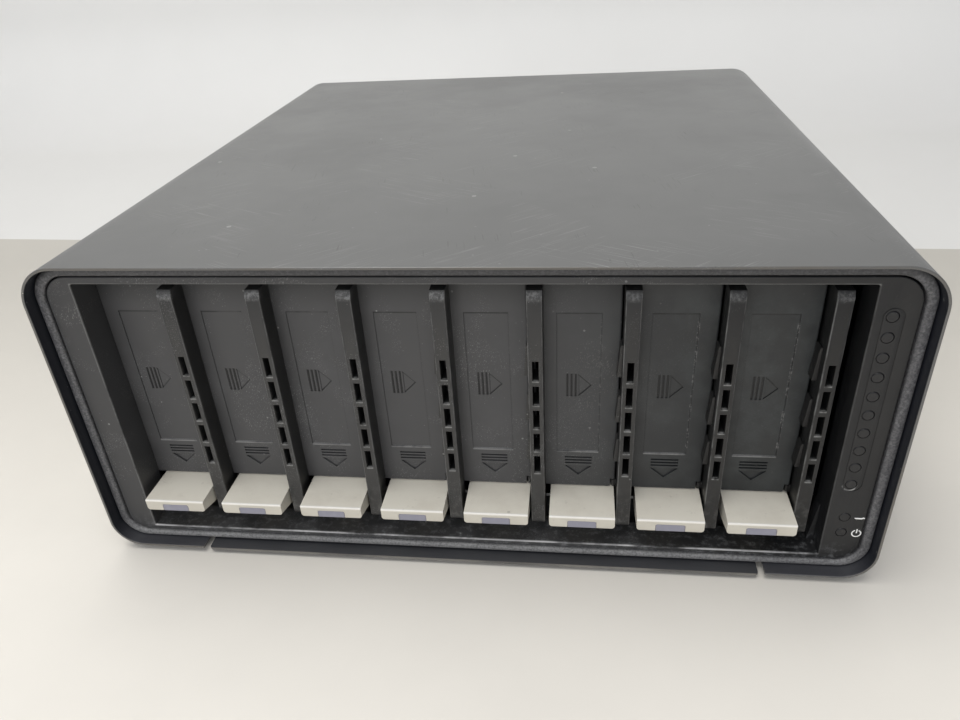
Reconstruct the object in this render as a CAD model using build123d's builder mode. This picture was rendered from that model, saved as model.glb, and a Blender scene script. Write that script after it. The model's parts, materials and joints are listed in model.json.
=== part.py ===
"""Desktop network-storage enclosure with eight upright 3.5 inch drive bays.

Row frame: +X to the viewer's right, +Y from the front to the back, +Z up.
Origin: on the surface it stands on, under the middle of the case.
Depths are measured back from the shell's front edge, heights up from the shell's underside.
"""
import os

from build123d import *

# ---- driving dimensions (mm) ----
shell_width = 309.0
shell_height = 129.7
shell_depth = 322.5
shell_sheet = 1.1
top_radius = 15.2
bottom_radius = 12.3
foot_height = 2.4            # from the table to the shell's underside
side_gap = 0.3               # air between pieces that sit side by side
pin_play = 0.05              # radial, in every turning fit

bay_count = 8
bay_pitch = 33.44
bay_width = 28.0
first_divider_x = -109.4     # left face of the divider at the right of bay 1
divider_width = bay_pitch - bay_width

opening_left, opening_right = -138.4, 135.0
opening_floor, opening_top = 6.6, 120.8
wall = 1.6                   # moulded walls

ring_depth = 5.0
face_depth = 6.0
tunnel_depth = 19.4
divider_depth = 10.2
door_depth = 19.8
lever_depth = 1.2
drive_front, drive_back = 23.3, 168.0
drive_floor, drive_roof = 17.4, 119.4
cage_sheet = 1.2
backplane_depth = 171.0
rear_panel_depth = shell_depth - 3.2      # its outer face


# ---- placing helpers ----
def behind(depth):
    """Y of a point that lies this far behind the shell's front edge."""
    return depth - shell_depth / 2


def above(height):
    """Z of a point that lies this far above the shell's underside."""
    return height + foot_height


def facing(depth):
    """Plane parallel to the front: its X is +X, its Y is +Z, extrusions come forward."""
    return Plane.XZ.offset(-behind(depth))


def flat(height):
    """Horizontal plane: extrusions go up."""
    return Plane.XY.offset(above(height))


def upright(x):
    """Plane across the case: its X is +Y, its Y is +Z, extrusions go to the right."""
    return Plane.YZ.offset(x)


def side_view(points):
    """(depth, height) pairs as points of an upright plane."""
    return [(behind(depth), above(height)) for depth, height in points]


def front_view(points):
    """(x, height) pairs as points of a facing plane."""
    return [(x, above(height)) for x, height in points]


def block(left, right, front, back, low, high, mode=Mode.ADD):
    """Box inside the part being built, from its six limits."""
    with Locations(((left + right) / 2, behind((front + back) / 2), above((low + high) / 2))):
        Box(right - left, back - front, high - low, mode=mode)


def outline(left, right, low, high, low_radius, high_radius):
    """Rectangle for a facing plane, with one radius for the bottom corners and one for the top."""
    with BuildSketch() as shape:
        with Locations(((left + right) / 2, above((low + high) / 2))):
            Rectangle(right - left, high - low)
        fillet(shape.vertices().group_by(Axis.Y)[0], low_radius)
        fillet(shape.vertices().group_by(Axis.Y)[-1], high_radius)
    return shape.sketch


def divider_x(bay):
    """Left face of the divider at the right of bay 1 to 8."""
    return first_divider_x + bay_pitch * (bay - 1)


bays = range(1, bay_count + 1)
finished = []


def keep(builder, name):
    """Label a finished piece and remember it for export."""
    builder.part.label = name
    finished.append(builder.part)


# ---- outer shell: one folded sheet with a short return under each side ----
half_width = shell_width / 2
return_edge, shell_edge_rounding = 115.0, 0.35
screw_x = 126.0
screw_depths = (30.0, 118.0, 206.0, 294.0)
screw_thread, shell_screw_hole = 1.3, 1.7     # radii
base_screws = [(side * screw_x, depth) for side in (-1, 1) for depth in screw_depths]
shell_outside = outline(-half_width, half_width, 0, shell_height, bottom_radius, top_radius)
shell_inside = outline(-half_width + shell_sheet, half_width - shell_sheet,
                       shell_sheet, shell_height - shell_sheet,
                       bottom_radius - shell_sheet, top_radius - shell_sheet)
with BuildPart() as outer_shell:
    with BuildSketch(facing(shell_depth)):
        add(shell_outside)
        add(shell_inside, mode=Mode.SUBTRACT)
        with Locations((0, above(0))):
            Rectangle(2 * return_edge, 4 * shell_sheet, mode=Mode.SUBTRACT)
    extrude(amount=shell_depth)
    fillet(outer_shell.faces().sort_by(Axis.Y)[0].edges(), shell_edge_rounding)
    with BuildSketch(flat(-1)):
        with Locations(*[(x, behind(depth)) for x, depth in base_screws]):
            Circle(shell_screw_hole)
    extrude(amount=4, mode=Mode.SUBTRACT)
keep(outer_shell, "outer_shell")

# ---- base plate: the middle of the underside, with a raised rail along each side ----
plate_half, plate_low, plate_top = 112.6, -0.6, 0.4
rail_inner, rail_outer, rail_low, rail_top = 97.0, 141.0, 1.15, 2.3
rail_front, plate_corner, rail_step = 16.0, 1.6, 1.0
air_slot_depths, air_slot_pitch, air_slot_rows = (80.0, 245.0), 20.0, 46.0
air_slot_length, air_slot_width = 30.0, 4.0
with BuildPart() as base_plate:
    block(-plate_half, plate_half, 0, shell_depth, plate_low, plate_top)
    fillet(base_plate.edges().filter_by(Axis.Z), plate_corner)
    for side in (-1, 1):
        with BuildSketch(facing(shell_depth)):
            with BuildLine():
                Polyline(*front_view([
                    (side * rail_inner, plate_top), (side * (plate_half - rail_step), plate_top),
                    (side * (plate_half - rail_step), rail_low), (side * rail_outer, rail_low),
                    (side * rail_outer, rail_top), (side * rail_inner, rail_top)]), close=True)
            make_face()
        extrude(amount=shell_depth - rail_front)
    # air slots under the drives and under the main board
    with BuildSketch(flat(plate_low - 1)):
        for depth in air_slot_depths:
            with Locations((0, behind(depth))):
                with GridLocations(air_slot_pitch, air_slot_rows, 8, 2):
                    SlotOverall(air_slot_length, air_slot_width, rotation=90)
    extrude(amount=4, mode=Mode.SUBTRACT)
    with BuildSketch(flat(-1)):
        with Locations(*[(x, behind(depth)) for x, depth in base_screws]):
            Circle(screw_thread)
    extrude(amount=6, mode=Mode.SUBTRACT)
keep(base_plate, "base_plate")

# ---- rubber feet ----
foot_radius, foot_x, foot_depths, foot_chamfer = 8.0, 95.0, (26.0, 296.0), 0.4
with BuildPart() as rubber_feet:
    with BuildSketch(Plane.XY):
        with Locations(*[(side * foot_x, behind(depth)) for side in (-1, 1) for depth in foot_depths]):
            Circle(foot_radius)
    extrude(amount=foot_height + plate_low)
    chamfer(rubber_feet.faces().group_by(Axis.Z)[0].edges(), foot_chamfer)
keep(rubber_feet, "rubber_feet")

# ---- trim ring: grained, round-nosed frame between the shell and the bezel ----
ring_back, ring_rounding = 14.0, 1.15
ring_half, ring_low, ring_top, ring_radii = 149.6, 4.0, 124.2, (8.4, 10.0)     # inside
ring_edge = shell_sheet + side_gap
ring_outside = outline(-half_width + ring_edge, half_width - ring_edge,
                       ring_edge, shell_height - ring_edge,
                       bottom_radius - ring_edge, top_radius - ring_edge)
ring_inside = outline(-ring_half, ring_half, ring_low, ring_top, *ring_radii)
with BuildPart() as trim_ring:
    with BuildSketch(facing(ring_back)):
        add(ring_outside)
        add(ring_inside, mode=Mode.SUBTRACT)
    extrude(amount=ring_back - ring_depth)
    fillet(trim_ring.faces().sort_by(Axis.Y)[0].edges(), ring_rounding)
keep(trim_ring, "trim_ring")

# ---- front bezel: face, skirt, ring seat and the tunnel round the bays ----
lens_x, lens_top, lens_pitch, lens_count, lens_radius = 140.8, 109.7, 7.58, 10, 2.0
level_lenses = [(lens_x, lens_top - lens_pitch * index) for index in range(lens_count)]
status_lenses = [(141.4, 25.8), (141.4, 18.3)]
status_radius = 1.95
lens_play = 0.1
line_x, line_width, line_length, line_breadth, line_cut = 141.2, 0.35, 74.8, 6.9, 0.2
face_back, face_rounding = 8.2, 0.4
bezel_half, bezel_low, bezel_top = 149.0, 4.6, 123.6
bezel_radii, skirt_radii = (7.8, 9.4), (6.2, 7.8)
skirt_back = ring_back + 2.0
mouth_radius, tunnel_radius = 0.8, 1.0
gusset_front, gusset_foot, gusset_head = 14.0, 132.4, 134.6
gusset_low, gusset_high = 24.0, 27.0
bezel_outside = outline(-bezel_half, bezel_half, bezel_low, bezel_top, *bezel_radii)
skirt_inside = outline(-bezel_half + wall, bezel_half - wall, bezel_low + wall, bezel_top - wall,
                       *skirt_radii)
opening = outline(opening_left, opening_right, opening_floor, opening_top, mouth_radius, mouth_radius)
tunnel = outline(opening_left - wall, opening_right + wall, bezel_low, opening_top + wall,
                 tunnel_radius, tunnel_radius)
with BuildPart() as front_bezel:
    with BuildSketch(facing(face_back)):
        add(bezel_outside)
        add(opening, mode=Mode.SUBTRACT)
    extrude(amount=face_back - face_depth)
    fillet(front_bezel.faces().sort_by(Axis.Y)[0].edges(), face_rounding)
    with BuildSketch(facing(skirt_back)):
        add(bezel_outside)
        add(skirt_inside, mode=Mode.SUBTRACT)
    extrude(amount=skirt_back - face_back)
    # seat for the trim ring
    with BuildSketch(facing(skirt_back)):
        add(ring_outside)
        add(skirt_inside, mode=Mode.SUBTRACT)
    extrude(amount=skirt_back - ring_back)
    with BuildSketch(facing(tunnel_depth)):
        add(tunnel)
        add(opening, mode=Mode.SUBTRACT)
    extrude(amount=tunnel_depth - face_back)
    # gusset in the lower right corner of the tunnel
    with BuildSketch(facing(tunnel_depth)):
        with BuildLine():
            Polyline(*front_view([(gusset_foot, opening_floor), (opening_right + 1, opening_floor),
                                  (opening_right + 1, gusset_high), (gusset_head, gusset_low)]), close=True)
        make_face()
    extrude(amount=tunnel_depth - gusset_front)
    # lens holes and the fine line engraved round the column of level lenses
    with BuildSketch(facing(face_back + 1)):
        with Locations(*front_view(level_lenses)):
            Circle(lens_radius + lens_play)
        with Locations(*front_view(status_lenses)):
            Circle(status_radius + lens_play)
    extrude(amount=face_back, mode=Mode.SUBTRACT)
    with BuildSketch(facing(face_depth + line_cut)):
        with Locations((line_x, above(lens_top - lens_pitch * (lens_count - 1) / 2))):
            SlotOverall(line_length, line_breadth, rotation=90)
            SlotOverall(line_length - 2 * line_width, line_breadth - 2 * line_width, rotation=90,
                        mode=Mode.SUBTRACT)
    extrude(amount=1, mode=Mode.SUBTRACT)
keep(front_bezel, "front_bezel")

# ---- light pipes behind the lens holes, and the board that lights them ----
pipe_front, pipe_back, pipe_rounding, board_front, board_sheet = 5.8, 11.2, 0.5, 12.0, 1.2
led_width, led_height, led_thick = 3.2, 2.4, 0.7
with BuildPart() as capacity_light_pipes:
    with BuildSketch(facing(pipe_back)):
        with Locations(*front_view(level_lenses)):
            Circle(lens_radius)
    extrude(amount=pipe_back - pipe_front)
    fillet(capacity_light_pipes.faces().group_by(Axis.Y)[0].edges(), pipe_rounding)
keep(capacity_light_pipes, "capacity_light_pipes")

with BuildPart() as status_light_pipes:
    with BuildSketch(facing(pipe_back)):
        with Locations(*front_view(status_lenses)):
            Circle(status_radius)
    extrude(amount=pipe_back - pipe_front)
    fillet(status_light_pipes.faces().group_by(Axis.Y)[0].edges(), pipe_rounding)
keep(status_light_pipes, "status_light_pipes")

with BuildPart() as led_board:
    block(lens_x - 3.2, lens_x + 5.8, board_front, board_front + board_sheet, 12.0, 116.0)
    with BuildSketch(facing(board_front)):
        with Locations(*front_view(level_lenses + status_lenses)):
            Rectangle(led_width, led_height)
    extrude(amount=led_thick)
keep(led_board, "led_board")

# ---- bay dividers: a slotted head in front of the doors, a thin web between the drives ----
head_low, head_top, head_back = 12.4, 116.2, 19.4
bevel_low, bevel_back, foot_rounding = 113.4, 11.6, 2.2   # slanted top and rounded foot of the head
vent_count, vent_pitch, vent_height, vent_width, vent_middle = 5, 10.52, 8.35, 2.4, 63.65
web_offset, web_sheet = 0.8, 1.6
rib_heights, rib_half, rib_front = (30.0, 58.0, 86.0, 112.0), 1.0, 34.0
hinge_depth, hinge_offset = 20.5, 1.1          # the pin stands this far left of the divider
door_pin_radius, ear_radius = 0.35, 0.85
ear_spans = [(25.6, 28.6), (115.4, 118.5)]
fairing_spans = [(41.9, 52.6), (60.4, 72.3), (80.2, 93.3)]
fairing_front, fairing_foot, fairing_head = 14.6, 1.7, 0.8
head_rounding, ear_arm = 0.5, 1.2


def build_divider(bay):
    left = divider_x(bay)
    right = left + divider_width
    with BuildPart() as divider:
        with BuildSketch(upright(left)) as side:
            with BuildLine():
                Polyline(*side_view([(divider_depth, head_low), (head_back, head_low),
                                     (head_back, head_top), (bevel_back, head_top),
                                     (divider_depth, bevel_low)]), close=True)
            make_face()
            fillet(side.vertices().group_by(Axis.X)[0].sort_by(Axis.Y)[0], foot_rounding)
        extrude(amount=divider_width)
        long_edges = divider.faces().sort_by(Axis.Y)[0].edges().filter_by(Axis.Z)
        fillet(long_edges, head_rounding)
        # air slots through the head
        with BuildSketch(facing(head_back + 1)):
            with Locations((left + divider_width / 2, above(vent_middle))):
                with GridLocations(0, vent_pitch, 1, vent_count):
                    Rectangle(vent_width, vent_height)
        extrude(amount=head_back + 1, mode=Mode.SUBTRACT)
        # fairings that cover the hinge edge of the door
        for low, high in fairing_spans:
            with BuildSketch(facing(head_back)):
                with BuildLine():
                    Polyline(*front_view([(left + 1, low), (left - fairing_foot, low),
                                          (left - fairing_head, high - 0.6),
                                          (left - fairing_head / 2, high), (left + 1, high)]),
                             close=True)
                make_face()
            extrude(amount=head_back - fairing_front)
        # web, and the ribs that guide the drive in the next bay
        block(left + web_offset, left + web_offset + web_sheet,
              head_back - 0.5, drive_back, drive_floor, drive_roof)
        for height in rib_heights:
            block(left + web_offset, right, rib_front, drive_back, height - rib_half, height + rib_half)
        # ears that hold the ends of the door's pin
        for low, high in ear_spans:
            with BuildSketch(flat(low)):
                with Locations((left - hinge_offset, behind(hinge_depth))):
                    Circle(ear_radius)
                with Locations((left, behind(hinge_depth))):
                    Rectangle(2 * hinge_offset, ear_arm)
                with Locations((left - hinge_offset, behind(hinge_depth))):
                    Circle(door_pin_radius, mode=Mode.SUBTRACT)
            extrude(amount=high - low)
    keep(divider, f"bay_divider_{bay}")


for bay in bays:
    build_divider(bay)

# ---- bay doors: flaps that a drive pushes inward, hinged at their right edge ----
door_sheet = 1.4
door_low, door_top = 25.4, 118.6
door_overlap = 1.2           # how far the door reaches behind the head on its left
label_low, label_top, label_width, label_recess, label_shift = 42.4, 103.3, 16.2, 0.4, -1.4
mark_recess = 0.35
ear_room = 0.4
# push mark: bars, then a triangle that points inward; release mark: bars, then one that points down
push_x, push_height, push_half = -3.95, 72.9, 4.7
push_pitch, push_bar, push_length = 1.55, 0.8, 10.0
push_base, push_tip = -1.3, 3.4
release_x, release_height, release_half = -1.1, 38.0, 5.2
release_pitch, release_bar = 1.4, 0.7
release_base, release_tip = 35.2, 30.6


def arrow_marks(centre):
    """Three upright bars and a triangle that points right; three level bars and one that points down."""
    with BuildSketch() as marks:
        with Locations((centre + push_x, above(push_height))):
            with GridLocations(push_pitch, 0, 3, 1):
                Rectangle(push_bar, push_length)
        with BuildLine():
            Polyline(*front_view([(centre + push_base, push_height + push_half),
                                  (centre + push_tip, push_height),
                                  (centre + push_base, push_height - push_half)]), close=True)
        make_face()
        middle = centre + release_x
        with Locations((middle, above(release_height))):
            with GridLocations(0, release_pitch, 1, 3):
                Rectangle(2 * release_half, release_bar)
        with BuildLine():
            Polyline(*front_view([(middle - release_half, release_base),
                                  (middle + release_half, release_base),
                                  (middle, release_tip)]), close=True)
        make_face()
    return marks.sketch


def build_door(bay):
    left = divider_x(bay) - bay_width - door_overlap
    axis_x = divider_x(bay) - hinge_offset
    centre = divider_x(bay) - bay_width / 2
    with BuildPart() as door:
        block(left, axis_x, door_depth, door_depth + door_sheet, door_low, door_top)
        # rounded edge that turns on the pin
        with BuildSketch(flat(door_low)):
            with Locations((axis_x, behind(hinge_depth))):
                Circle(door_sheet / 2)
        extrude(amount=door_top - door_low)
        with BuildSketch(facing(door_depth + label_recess)):
            with Locations((centre + label_shift, above((label_low + label_top) / 2))):
                Rectangle(label_width, label_top - label_low)
        extrude(amount=1, mode=Mode.SUBTRACT)
        with BuildSketch(facing(door_depth + label_recess + mark_recess)):
            add(arrow_marks(centre))
        extrude(amount=2, mode=Mode.SUBTRACT)
        # room for the divider's ears
        for low, high in ear_spans:
            block(axis_x - ear_radius - ear_room, axis_x + 1, door_depth - 1, door_depth + 3,
                  low - ear_room, high + ear_room, mode=Mode.SUBTRACT)
        with BuildSketch(flat(door_low - 1)):
            with Locations((axis_x, behind(hinge_depth))):
                Circle(door_pin_radius + pin_play)
        extrude(amount=door_top - door_low + 2, mode=Mode.SUBTRACT)
    keep(door, f"bay_door_{bay}")


for bay in bays:
    build_door(bay)

# ---- release levers: a pale tab that holds the drive in, on an arm under the cage floor ----
tab_width, tab_low, tab_top, tab_back = 25.2, 19.7, 24.8, 22.3
tab_shift = 0.6              # the tab sits this far right of the middle of its bay
chin_depth, chin_height = 10.9, 16.9            # where the tab's sloping underside ends
arm_width, arm_low, arm_top, arm_front = 12.0, 12.6, 16.6, 19.7
arm_crown, arm_tail, arm_tail_depth, arm_bend_depth = 17.4, 11.2, 104.0, 30.0
pivot_depth, pivot_height, pivot_radius, boss_radius = 112.0, 13.2, 1.5, 3.0
insert_width, insert_height, insert_sheet, insert_corner = 11.2, 3.1, 1.4, 0.8
insert_play, insert_proud = 0.1, 0.05
tab_low_rounding, tab_front_rounding = 1.2, 0.35


def build_lever(bay):
    centre = divider_x(bay) - bay_width / 2
    middle = centre + tab_shift
    with BuildPart() as lever:
        with BuildSketch(upright(middle - tab_width / 2)):
            with BuildLine():
                Polyline(*side_view([(lever_depth, tab_low), (lever_depth, tab_top),
                                     (tab_back, tab_top), (tab_back, chin_height),
                                     (chin_depth, chin_height)]), close=True)
            make_face()
        extrude(amount=tab_width)
        low_corners = lever.edges().filter_by(Axis.Y, reverse=True).filter_by(
            lambda edge: edge.length > 9 and abs(edge.center().X - middle) > 12
            and above(chin_height) < edge.center().Z < above(tab_low))
        fillet(low_corners, tab_low_rounding)
        fillet(lever.faces().sort_by(Axis.Y)[0].edges().sort_by(Axis.Z)[-1], tab_front_rounding)
        # pocket for the insert
        with BuildSketch(facing(lever_depth + insert_sheet)) as pocket:
            with Locations((middle, above(tab_low + insert_height / 2 - 1))):
                Rectangle(insert_width, insert_height + 2)
            fillet(pocket.vertices().group_by(Axis.Y)[-1], insert_corner)
        extrude(amount=insert_sheet + 1, mode=Mode.SUBTRACT)
        with BuildSketch(upright(centre - arm_width / 2)):
            with BuildLine():
                Polyline(*side_view([(arm_front, arm_low), (arm_front, arm_crown),
                                     (tab_back, arm_crown), (tab_back, arm_top),
                                     (pivot_depth, pivot_height + boss_radius),
                                     (pivot_depth, pivot_height - boss_radius + 0.2),
                                     (arm_tail_depth, arm_tail), (arm_bend_depth, arm_low)]), close=True)
            make_face()
            with Locations(*side_view([(pivot_depth, pivot_height)])):
                Circle(boss_radius)
        extrude(amount=arm_width)
        with BuildSketch(upright(centre - arm_width)):
            with Locations(*side_view([(pivot_depth, pivot_height)])):
                Circle(pivot_radius + pin_play)
        extrude(amount=2 * arm_width, mode=Mode.SUBTRACT)
    keep(lever, f"release_lever_{bay}")

    with BuildPart() as insert:
        with BuildSketch(facing(lever_depth + insert_sheet)) as face:
            with Locations((middle, above(tab_low + insert_height / 2 - insert_play))):
                Rectangle(insert_width - 2 * insert_play, insert_height)
            fillet(face.vertices().group_by(Axis.Y)[-1], insert_corner)
        extrude(amount=insert_sheet + insert_proud)
    keep(insert, f"lever_insert_{bay}")


for bay in bays:
    build_lever(bay)

# ---- drive cage: floor with a slot for each lever arm, roof, and two sides ----
cage_left, cage_right = opening_left - 2.4, 132.2
ear_gap, ear_sheet, ear_reach = arm_width / 2 + 0.4, 1.6, 4.0
ear_shoulder, ear_foot, ear_foot_half = 11.0, 9.6, 2.0
leg_sheet, arm_room = 2.0, 0.5
with BuildPart() as cage_floor:
    block(cage_left, cage_right, drive_front, drive_back, drive_floor - cage_sheet, drive_floor)
    for bay in bays:
        centre = divider_x(bay) - bay_width / 2
        block(centre - arm_width / 2 - arm_room, centre + arm_width / 2 + arm_room,
              drive_front - 1, pivot_depth + 6, drive_floor - 2, drive_floor + 1, mode=Mode.SUBTRACT)
        for side in (-1, 1):
            inner = centre + side * ear_gap
            with BuildSketch(upright(inner if side > 0 else inner - ear_sheet)):
                with BuildLine():
                    Polyline(*side_view([(pivot_depth - ear_reach, drive_floor - 0.8),
                                         (pivot_depth - ear_reach, ear_shoulder),
                                         (pivot_depth - ear_foot_half, ear_foot),
                                         (pivot_depth + ear_foot_half, ear_foot),
                                         (pivot_depth + ear_reach, ear_shoulder),
                                         (pivot_depth + ear_reach, drive_floor - 0.8)]), close=True)
                make_face()
                with Locations(*side_view([(pivot_depth, pivot_height)])):
                    Circle(pivot_radius, mode=Mode.SUBTRACT)
            extrude(amount=ear_sheet)
    # legs that stand the cage on the base plate's rails
    for leg_left in (cage_left, cage_right - leg_sheet):
        block(leg_left, leg_left + leg_sheet, drive_front, drive_back, rail_top, drive_floor)
keep(cage_floor, "cage_floor")

roof_slot_depth, roof_slot_rows, roof_slot_length, roof_slot_width = 96.0, 42.0, 30.0, 9.0
with BuildPart() as cage_roof:
    block(cage_left, cage_right, drive_front, drive_back, drive_roof, drive_roof + cage_sheet)
    with BuildSketch(flat(drive_roof - 1)):
        with Locations((0, behind(roof_slot_depth))):
            with GridLocations(bay_pitch, roof_slot_rows, 7, 3):
                SlotOverall(roof_slot_length, roof_slot_width, rotation=90)
    extrude(amount=4, mode=Mode.SUBTRACT)
keep(cage_roof, "cage_roof")

with BuildPart() as cage_sides:
    block(cage_left, cage_left + cage_sheet, drive_front, drive_back, drive_floor, drive_roof)
    block(cage_right - cage_sheet, cage_right, drive_front, drive_back, drive_floor, drive_roof)
keep(cage_sides, "cage_sides")

# ---- hinge pins and springs ----
lever_pin_half = 12.5
with BuildPart() as hinge_pins:
    for bay in bays:
        centre = divider_x(bay) - bay_width / 2
        with BuildSketch(upright(centre - lever_pin_half)):
            with Locations(*side_view([(pivot_depth, pivot_height)])):
                Circle(pivot_radius)
        extrude(amount=2 * lever_pin_half)
        with BuildSketch(flat(ear_spans[0][0])):
            with Locations((divider_x(bay) - hinge_offset, behind(hinge_depth))):
                Circle(door_pin_radius)
        extrude(amount=ear_spans[-1][1] - ear_spans[0][0])
keep(hinge_pins, "hinge_pins")

coil_wire, coil_turns, coil_radius = 0.7, 4, 2.5
with BuildPart() as lever_springs:
    for bay in bays:
        start = divider_x(bay) - bay_width / 2 + ear_gap + ear_sheet + 0.2
        for turn in range(coil_turns):
            ring_plane = upright(start + coil_wire * (turn + 0.5))
            with Locations(ring_plane * Location((behind(pivot_depth), above(pivot_height), 0))):
                Torus(coil_radius - coil_wire / 2, coil_wire / 2 + 0.02)
keep(lever_springs, "lever_springs")

# ---- backplane with one connector for each bay ----
board_thick = 1.6
backplane_low, backplane_top = 20.0, 118.0
backplane_slot_heights, backplane_slot_length, backplane_slot_width = (45.0, 93.0), 30.0, 8.0
with BuildPart() as backplane_board:
    block(cage_left + 1, cage_right - 1, backplane_depth, backplane_depth + board_thick,
          backplane_low, backplane_top)
    with BuildSketch(facing(backplane_depth + 3)):
        with Locations(*front_view([(divider_x(bay) + 1, height)
                                    for bay in bays[:-1] for height in backplane_slot_heights])):
            SlotOverall(backplane_slot_length, backplane_slot_width, rotation=90)
    extrude(amount=6, mode=Mode.SUBTRACT)
keep(backplane_board, "backplane_board")

socket_shift, socket_half, socket_mouth, socket_tongue = -8.0, 3.0, 1.2, 0.4
socket_low, socket_top, socket_deep, socket_wall = 32.0, 74.0, 6.5, 2.0
with BuildPart() as drive_connectors:
    for bay in bays:
        centre = divider_x(bay) - bay_width / 2 + socket_shift
        block(centre - socket_half, centre + socket_half,
              backplane_depth - socket_deep, backplane_depth, socket_low, socket_top)
        block(centre - socket_mouth, centre + socket_mouth,
              backplane_depth - socket_deep - 1, backplane_depth - 1,
              socket_low + socket_wall, socket_top - socket_wall, mode=Mode.SUBTRACT)
        block(centre - socket_tongue, centre + socket_tongue,
              backplane_depth - socket_deep + 1, backplane_depth - 0.5,
              socket_low + socket_wall + 1, socket_top - socket_wall - 1)
keep(drive_connectors, "drive_connectors")

# ---- main board and its heat sink ----
board_left, board_right, board_near, board_low = -66.0, 148.0, 180.0, 8.0
spacer_xs, spacer_depths, spacer_radius, spacer_air = (-60.0, 88.0), (186.0, 300.0), 3.0, 0.05
with BuildPart() as main_board:
    block(board_left, board_right, board_near, rear_panel_depth - 2.0, board_low, board_low + board_thick)
    # loose spacers under it
    with BuildSketch(flat(plate_top)):
        with Locations(*[(x, behind(depth)) for x in spacer_xs for depth in spacer_depths]):
            Circle(spacer_radius)
    extrude(amount=board_low - plate_top - spacer_air)
keep(main_board, "main_board")

sink_x, sink_depth, sink_size = 40.0, 228.0, 42.0
sink_low, sink_base, fin_height, fin_sheet, fin_count = board_low + board_thick, 4.0, 16.0, 1.4, 9
with BuildPart() as heat_sink:
    block(sink_x - sink_size / 2, sink_x + sink_size / 2, sink_depth - sink_size / 2,
          sink_depth + sink_size / 2, sink_low, sink_low + sink_base)
    with BuildSketch(flat(sink_low + sink_base)):
        with Locations((sink_x, behind(sink_depth))):
            with GridLocations(sink_size / fin_count, 0, fin_count, 1):
                Rectangle(fin_sheet, sink_size)
    extrude(amount=fin_height)
keep(heat_sink, "heat_sink")

# ---- power supply, its inlet and its switch ----
psu_left, psu_right, psu_low, psu_top = -144.0, -72.0, 6.0, 94.0
psu_front, psu_back, psu_sheet = 184.0, rear_panel_depth - 30.0, 1.0
inlet_x, inlet_height = -125.0, 25.0
switch_x, switch_height = -92.0, 25.0
inlet_width, inlet_tall = 30.0, 23.0
switch_width, switch_tall = 13.4, 19.4
exhaust_height, exhaust_pitch, exhaust_cell, exhaust_rows = 66.0, 2.6, 2.1, 7
louvre_height, louvre_length, louvre_width, louvre_pitch, louvre_rise = 48.0, 12.0, 3.0, 16.0, 7.0
psu_x = (psu_left + psu_right) / 2
with BuildPart() as power_supply:
    block(psu_left, psu_right, psu_front, psu_back, psu_low, psu_top)
    block(psu_left + psu_sheet, psu_right - psu_sheet, psu_front + psu_sheet, psu_back - psu_sheet,
          psu_low + psu_sheet, psu_top - psu_sheet, mode=Mode.SUBTRACT)
    # louvres in the front wall, exhaust hole in the back one
    with BuildSketch(facing(psu_front + 3)):
        with Locations((psu_x, above(louvre_height))):
            with GridLocations(louvre_pitch, louvre_rise, 3, 9):
                SlotOverall(louvre_length, louvre_width)
    extrude(amount=6, mode=Mode.SUBTRACT)
    with BuildSketch(facing(psu_back + 3)):
        with Locations((psu_x, above(exhaust_height))):
            with HexLocations(exhaust_pitch, exhaust_rows, exhaust_rows):
                RegularPolygon(exhaust_cell, 6)
    extrude(amount=6, mode=Mode.SUBTRACT)
keep(power_supply, "power_supply")

panel_face = rear_panel_depth
flange, flange_sheet, body_play = 2.0, 0.6, 0.2
inlet_deep, cavity_deep = 22.0, 16.0
cavity_width, cavity_tall, cavity_cut, cavity_rounding = 24.4, 16.6, 4.5, 1.0
blade_half_width, blade_half_height = 1.0, 2.0
blade_spread, blade_rise, blade_drop = 7.0, 4.2, 0.5
blades = [(inlet_x - blade_spread, inlet_height - blade_drop), (inlet_x, inlet_height + blade_rise),
          (inlet_x + blade_spread, inlet_height - blade_drop)]
with BuildPart() as mains_inlet:
    with BuildSketch(facing(panel_face + flange_sheet)) as rim:
        with Locations((inlet_x, above(inlet_height))):
            Rectangle(inlet_width + 2 * flange, inlet_tall + 2 * flange)
        fillet(rim.vertices(), 2.0)
    extrude(amount=flange_sheet)
    with BuildSketch(facing(panel_face)):
        with Locations((inlet_x, above(inlet_height))):
            Rectangle(inlet_width - 2 * body_play, inlet_tall - 2 * body_play)
    extrude(amount=inlet_deep)
    with BuildSketch(facing(panel_face + 1)) as cavity:
        with Locations((inlet_x, above(inlet_height))):
            Rectangle(cavity_width, cavity_tall)
        fillet(cavity.vertices().group_by(Axis.Y)[-1], cavity_rounding)
        chamfer(cavity.vertices().group_by(Axis.Y)[0], cavity_cut)
    extrude(amount=cavity_deep + 1, mode=Mode.SUBTRACT)
    # blades, each in its own slot through the back of the moulding
    for play, mode in ((pin_play, Mode.SUBTRACT), (0.0, Mode.ADD)):
        for x, height in blades:
            block(x - blade_half_width - play, x + blade_half_width + play,
                  panel_face - inlet_deep - 4, panel_face - (2.0 if mode == Mode.ADD else 0.0),
                  height - blade_half_height - play, height + blade_half_height + play, mode=mode)
keep(mains_inlet, "mains_inlet")

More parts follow.
